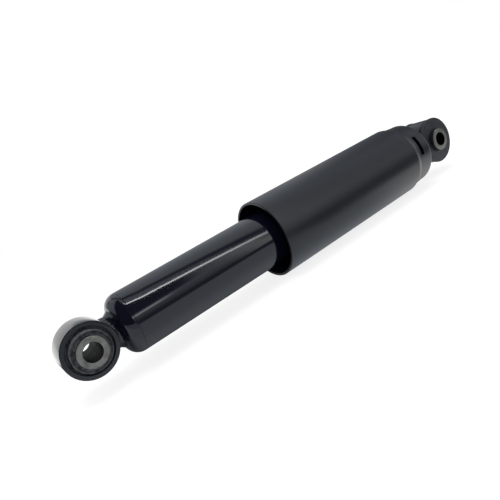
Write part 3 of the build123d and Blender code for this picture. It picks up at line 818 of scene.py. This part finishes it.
class SHOCK_OT_upper_eye(bpy.types.Operator):
    """Upper eye: satin ring, flanged rubber bush and bare steel sleeve"""

    bl_idname = "shock.upper_eye"
    bl_label = "Upper Eye"

    def execute(self, context):
        sizes, colours = settings()
        paint = satin_paint_dipped(colours)
        centre = (EYE_TO_EYE, 0, 0)
        radius, half = UPPER_RING_HIGH.z, UPPER_RING_HIGH.y - sizes.ring_inset
        ring = ring_outline(radius, half, sizes.ring_wall, sizes.ring_edge)
        finished_piece(
            "upper_ring_painted", turned_solid(ring, along="Y", centre=centre), paint,
            "rod_assembly", "upper_eye_ring",
        )
        face = UPPER_RUBBER_HIGH.y - sizes.upper_inset
        flange = UPPER_RUBBER_HIGH.z
        back = half + sizes.flange_gap
        outer = radius - sizes.ring_wall - SEAT_GAP
        inner = SLEEVE_HIGH.z + SLEEVE_GAP
        side = [
            (back, outer, 0.3 * MM),
            (back, flange, 0.6 * MM),
            (face, flange, sizes.flange_round),
            (face, inner, 0),
        ]
        bush = turned_solid(
            both_sides(side, longest=0.8 * MM), along="Y", centre=centre, segments=160,
            shift=torn_flash(sizes, face, seed=8.0),
        )
        # A darker copy of the rubber for the upper bush
        rubber = rubber_compression_moulded("rubber_moulded_upper", colours.upper_rubber_patch, colours)
        finished_piece(
            "upper_bush_moulded", bush, rubber, "rod_assembly", "upper_bush_rubber",
            sharp=60,
        )
        sleeve = turned_solid(sleeve_outline(sizes), along="Y", centre=centre)
        steel = steel_turned("steel_turned_upper", EYE_TO_EYE, sizes, colours)
        finished_piece(
            "upper_sleeve_turned", sleeve, steel, "upper_sleeve", "upper_inner_sleeve"
        )
        return {"FINISHED"}


class SHOCK_OT_inner_parts(bpy.types.Operator):
    """Finishes of the pieces that keep their CAD shape, most of them inside the tubes"""

    bl_idname = "shock.inner_parts"
    bl_label = "Inner Parts"

    def execute(self, context):
        _, colours = settings()
        finishes = {
            "satin_painted_steel": bpy.data.materials["satin_paint_dipped"],
            "gloss_painted_steel": bpy.data.materials["gloss_enamel_sprayed"],
            "moulded_plastic": bpy.data.materials["polypropylene_moulded"],
            "rubber": bpy.data.materials["rubber_compression_moulded"],
            "bare_steel": steel_pressed(colours),
            "hard_chrome": chrome_hard_ground(colours),
            "sintered_iron": iron_sintered(colours),
            "bronze": bronze_rolled(colours),
            "piston_band_plastic": fluoroplastic_skived(colours),
        }
        for part in frame["record"]["subparts"]:
            node = frame["nodes"][part["node"]]
            node.data.materials.clear()
            node.data.materials.append(finishes[part["material_slot"]])
        return {"FINISHED"}


class SHOCK_OT_check_springs(bpy.types.Operator):
    """Flat finger springs over both check plates"""

    bl_idname = "shock.check_springs"
    bl_label = "Check Springs"

    fingers = 4
    # Parts of the mesh across a finger, along it, and of the ring between two fingers
    across, along, between = 6, 16, 20

    def spring(self, low, high, hub, sizes):
        thick, half = sizes.spring_thickness, sizes.finger_width / 2
        inner, outer, tip = hub + SEAT_GAP, hub + sizes.spring_ring_width, high.z
        made = bmesh.new()

        def pair(x, y, z):
            """The vertices on the two faces of the strip at a place."""
            return [made.verts.new((x, y, z)), made.verts.new((x - thick, y, z))]

        def turned(r, side, turn):
            """A place at a distance from the axis and to the side of a finger's middle."""
            reach, sine, cosine = math.sqrt(r * r - side * side), math.sin(turn), math.cos(turn)
            return reach * sine + side * cosine, reach * cosine - side * sine

        def skin(near, far):
            """The strip's edge between two pairs."""
            made.faces.new((near[0], far[0], far[1], near[1]))

        def sheet(a, b, c, d):
            """Both faces of the strip between four pairs."""
            made.faces.new((a[0], b[0], c[0], d[0]))
            made.faces.new((d[1], c[1], b[1], a[1]))

        sides = [half * (2 * k / self.across - 1) for k in range(self.across + 1)]
        loop = []
        for number in range(self.fingers):
            turn = FULL_TURN * number / self.fingers
            for side in sides:
                root = turned(outer, side, turn)
                loop.append((root, turned(inner, side * inner / outer, turn), True))
            edge = math.asin(half / outer)
            gap = FULL_TURN / self.fingers - 2 * edge
            for k in range(1, self.between):
                a = turn + edge + gap * k / self.between
                loop.append((turned(outer, 0, a), turned(inner, 0, a), False))
        rim = [(pair(high.x, *o), pair(high.x, *i), root) for o, i, root in loop]
        for (o1, i1, root1), (o2, i2, root2) in zip(rim, rim[1:] + rim[:1]):
            sheet(o1, o2, i2, i1)
            skin(i2, i1)
            if not (root1 and root2):
                skin(o1, o2)
        per_finger = len(rim) // self.fingers
        for number in range(self.fingers):
            turn = FULL_TURN * number / self.fingers
            row = [rim[number * per_finger + k][0] for k in range(self.across + 1)]
            for j in range(1, self.along + 1):
                t = j / self.along
                x = high.x - (high.x - low.x - thick) * t * t * (3 - 2 * t)
                r = outer + (tip - outer) * t
                ahead = [pair(x, *turned(r, side, turn)) for side in sides]
                for k in range(self.across):
                    sheet(row[k], ahead[k], ahead[k + 1], row[k + 1])
                skin(row[0], ahead[0])
                skin(ahead[-1], row[-1])
                row = ahead
            for k in range(self.across):
                skin(row[k], row[k + 1])
        return made

    def execute(self, context):
        sizes, _ = settings()
        steel = bpy.data.materials["steel_pressed"]
        springs = (
            ("base_check_spring", sizes.rivet_hub_radius, "base_check", "reserve_body"),
            ("piston_check_spring", sizes.support_hub_radius, "piston_check", "rod_assembly"),
        )
        for node, hub, plate, seat in springs:
            low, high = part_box(node)
            start, end = low.x + sizes.spring_thickness, high.x - sizes.spring_thickness
            formed = self.spring(low, high, hub, sizes)
            finished_piece(
                node + "_formed", formed, steel, plate, node,
                bends=(seat, (start, 0, 0), (end, 0, 0)),
            )
        return {"FINISHED"}


class SHOCK_OT_studio(bpy.types.Operator):
    """Pale floor, studio light and the camera of the photograph"""

    bl_idname = "shock.studio"
    bl_label = "Studio"

    def floor(self, colours):
        """A wide pale floor that shows white to the camera and keeps the soft shadow."""
        bpy.ops.mesh.primitive_plane_add(size=6, location=(0.2, 0, -COVER_HIGH.z - 0.2 * MM))
        plane = bpy.context.object
        plane.name = "studio_floor"
        material, tree = new_material("floor_paper_matt")
        path = add_node(tree, "LightPath")
        seen = add_node(
            tree, "Math",
            {0: path.outputs["Is Camera Ray"], 1: path.outputs["Is Transmission Ray"]},
            operation="MAXIMUM",
        )
        paper = add_node(tree, "BsdfDiffuse", {"Color": colours.floor})
        dim_paper = add_node(tree, "BsdfDiffuse", {"Color": (0.3, 0.3, 0.3, 1)})
        glow = add_node(tree, "Emission", {"Color": (1, 1, 1, 1), "Strength": 0.81})
        white = add_node(tree, "AddShader", {0: dim_paper.outputs[0], 1: glow.outputs[0]})
        mirror = add_node(tree, "Emission", {"Color": self.mirrored_floor(tree)})
        first = add_node(
            tree, "MixShader",
            {0: path.outputs["Is Glossy Ray"], 1: paper.outputs[0], 2: mirror.outputs[0]},
        )
        shown = add_node(
            tree, "MixShader", {0: seen.outputs[0], 1: first.outputs[0], 2: white.outputs[0]}
        )
        add_node(tree, "OutputMaterial", {"Surface": shown.outputs[0]})
        plane.data.materials.append(material)

    def mirrored_floor(self, tree):
        """What gloss sees, painted on the floor as a glow: lit paper in front and to the right, a
        painted shadow of the object behind it, pale paper further back, and darker past the paper's
        two front edges."""
        place = add_node(tree, "NewGeometry").outputs["Position"]
        lit = marked(
            tree, grey(0.85),
            (region(tree, place, *slab(RIGHT, 0.41, 0.07, 0.06)), grey(1.3)),
            # Painted shadow of the object on the paper behind it
            (region(tree, place, (BACK, -0.012, 0.02), (LEFT, -0.42, 0.02)), grey(0.12)),
            (region(tree, place, (BACK, 0.135, 0.025)), grey(1.25)),
        )
        long_side = ((BACK, -0.21, 0.02), (LEFT, -0.26, 0.02))
        sheet = 0.0
        for sides in (
            (*long_side, (RIGHT, 0.05, 0.02)),
            (*long_side, (BACK, -0.125, 0.02)),
            ((BACK, -0.088, 0.012), (RIGHT, 0.2, 0.02)),
        ):
            parts = {0: sheet, 1: region(tree, place, *sides)}
            sheet = add_node(tree, "Math", parts, operation="MAXIMUM").outputs["Value"]
        # Darker past the paper's two front edges
        past_paper = marked(tree, grey(0.17), (region(tree, place, (LEFT, -0.07, 0.03)), grey(0.62)))
        return marked(tree, past_paper, (sheet, lit))

    def room(self, tree):
        """What the object mirrors of the room: pale above and behind, a thin strip of light high
        in front with dark beside it, a small window low in front, and dark to the left."""
        look = add_node(tree, "TexCoord").outputs["Generated"]
        parts = add_node(tree, "SeparateXYZ", {0: look})
        front = add_node(tree, "Math", {0: parts.outputs["Y"], 1: -1.0}, operation="MULTIPLY")
        angle = add_node(
            tree, "Math", {0: parts.outputs["Z"], 1: front.outputs[0]}, operation="ARCTAN2"
        )
        # 0.5 is level in front, 0.75 is straight up and 1 is level behind
        turned = add_node(
            tree, "MapRange",
            {"Value": angle.outputs[0], "From Min": -math.pi, "From Max": math.pi},
        )
        ramp = add_node(tree, "ValToRGB", {"Fac": turned.outputs["Result"]})
        levels = (
            (0.0, 0.5), (0.48, 0.12), (0.5, 0.2), (0.522, 0.5), (0.57, 0.8), (0.667, 0.8),
            (0.75, 0.95), (0.847, 0.92), (0.9, 0.72), (0.944, 0.55), (1.0, 0.45),
        )
        stops = ramp.color_ramp.elements
        while len(stops) > 1:
            stops.remove(stops[-1])
        for number, (position, level) in enumerate(levels):
            stop = stops.new(position) if number else stops[0]
            stop.position = position
            stop.color = grey(level)
        # The strip of light is a thin upright plane; what lies round it is told by its sides
        strip = (0.798, 0.602, 0.033)
        past_strip = [-d for d in strip]
        bar = (0.836, 0.494, -0.237)
        strip_light = marked(tree, grey(6), (region(tree, look, (UP, 0.66, 0.2)), grey(16)))
        patches = (
            # High right, the glow beside the strip, the dark bar and the dark field left of it
            (grey(0.5), (RIGHT, 0.66, 0.12), (UP, 0.25, 0.15)),
            (grey(1.6), *slab(strip, -0.08, 0.07, 0.07), (RIGHT, 0.43, 0.05), (FRONT, 0.1, 0.1)),
            (grey(0.14), *slab(bar, 0, 0.05, 0.04), (UP, 0.3, 0.1)),
            (grey(0.1), (LEFT, -0.35, 0.03), (UP, 0.43, 0.08), (past_strip, 0, 0.02),
             (FRONT, 0, 0.1)),
            # Behind, to the left and to the right
            (grey(1.02), (BACK, 0.1, 0.2), ((-1, 0, -1), -0.38, 0.05), (RIGHT, -0.34, 0.06)),
            (grey(0.15), (BACK, 0.1, 0.2), (RIGHT, 0.66, 0.05)),
            # The window, the dark to the left and the strip of light
            (grey(3.0), *slab(UP, 0.34, 0.05, 0.02), (FRONT, 0.5, 0.1), (LEFT, -0.29, 0.02)),
            (grey(0.05), (LEFT, 0.06, 0.06), (FRONT, -0.35, 0.1)),
            (strip_light, *slab(strip, 0, 0.016, 0.008), (UP, 0.25, 0.1), (RIGHT, 0.08, 0.08)),
        )
        room = ramp.outputs["Color"]
        for light, *sides in patches:
            room = marked(tree, room, (region(tree, look, *sides), light))
        return room

    def world(self):
        """White to the camera, a plain pale light on the object, and a room in its reflections."""
        world = bpy.data.worlds.new("studio_world")
        bpy.context.scene.world = world
        world.use_nodes = True
        tree = world.node_tree
        tree.nodes.clear()
        path = add_node(tree, "LightPath")
        lit = add_node(tree, "Background", {"Color": self.room(tree), "Strength": 1.0})
        plain = add_node(tree, "Background", {"Color": (1, 1, 1, 1), "Strength": 0.7})
        white = add_node(tree, "Background", {"Color": (1, 1, 1, 1), "Strength": 1.0})
        soft = add_node(
            tree, "MixShader",
            {0: path.outputs["Is Glossy Ray"], 1: plain.outputs[0], 2: lit.outputs[0]},
        )
        seen = add_node(
            tree, "MixShader",
            {0: path.outputs["Is Camera Ray"], 1: soft.outputs[0], 2: white.outputs[0]},
        )
        add_node(tree, "OutputWorld", {"Surface": seen.outputs[0]})

    def softbox(self):
        """A soft rectangular lamp above, which shows in no reflection."""
        place, aim = Vector((0.2, -0.1, 1.2)), Vector((0.2, 0, 0))
        data = bpy.data.lights.new("softbox_above", "AREA")
        data.energy = 6.0
        data.shape = "RECTANGLE"
        data.size, data.size_y = 0.9, 0.6
        lamp = bpy.data.objects.new("softbox_above", data)
        lamp.location = place
        lamp.rotation_euler = (aim - place).to_track_quat("-Z", "Y").to_euler()
        lamp.visible_glossy = False
        bpy.context.scene.collection.objects.link(lamp)

    def camera(self):
        """The photograph's view: a 35 mm lens near the lower eye, rolled with the picture."""
        data = bpy.data.cameras.new("photo_camera")
        data.sensor_width = 36
        data.lens = 34.95
        place = Vector((-43.72, -369.46, 100.35)) * MM
        aim = Vector((190.73, 56.32, -16.89)) * MM
        roll = math.radians(-23.95)
        camera = bpy.data.objects.new("photo_camera", data)
        look = (aim - place).to_track_quat("-Z", "Y").to_matrix() @ Matrix.Rotation(roll, 3, "Z")
        camera.matrix_world = Matrix.Translation(place) @ look.to_4x4()
        data.clip_start = 0.01
        bpy.context.scene.collection.objects.link(camera)
        bpy.context.scene.camera = camera

    def execute(self, context):
        _, colours = settings()
        bpy.context.scene.view_settings.view_transform = "Standard"
        self.floor(colours)
        self.world()
        self.softbox()
        self.camera()
        return {"FINISHED"}


class SHOCK_PT_panel(bpy.types.Panel):
    """Steps, sizes and colours of the shock absorber"""

    bl_idname = "SHOCK_PT_panel"
    bl_label = "Shock Absorber"
    bl_space_type = "VIEW_3D"
    bl_region_type = "UI"
    bl_category = "Shock Absorber"

    def draw(self, context):
        for step in STEPS:
            self.layout.operator(step.bl_idname)
        for group in (context.scene.shock_sizes, context.scene.shock_colours):
            box = self.layout.box()
            for name in group.__annotations__:
                box.prop(group, name)


STEPS = (
    SHOCK_OT_dust_cover,
    SHOCK_OT_reserve_tube,
    SHOCK_OT_lower_eye,
    SHOCK_OT_upper_eye,
    SHOCK_OT_inner_parts,
    SHOCK_OT_check_springs,
    SHOCK_OT_studio,
)
CLASSES = (ShockSizes, ShockColours, *STEPS, SHOCK_PT_panel)


def register():
    for item in CLASSES:
        bpy.utils.register_class(item)
    bpy.types.Scene.shock_sizes = bpy.props.PointerProperty(type=ShockSizes)
    bpy.types.Scene.shock_colours = bpy.props.PointerProperty(type=ShockColours)


def unregister():
    del bpy.types.Scene.shock_sizes
    del bpy.types.Scene.shock_colours
    for item in reversed(CLASSES):
        bpy.utils.unregister_class(item)


def main():
    """Registers the classes and runs every step."""
    register()
    bpy.ops.shock.dust_cover()
    bpy.ops.shock.reserve_tube()
    bpy.ops.shock.lower_eye()
    bpy.ops.shock.upper_eye()
    bpy.ops.shock.inner_parts()
    bpy.ops.shock.check_springs()
    bpy.ops.shock.studio()


if __name__ == "__main__":
    main()
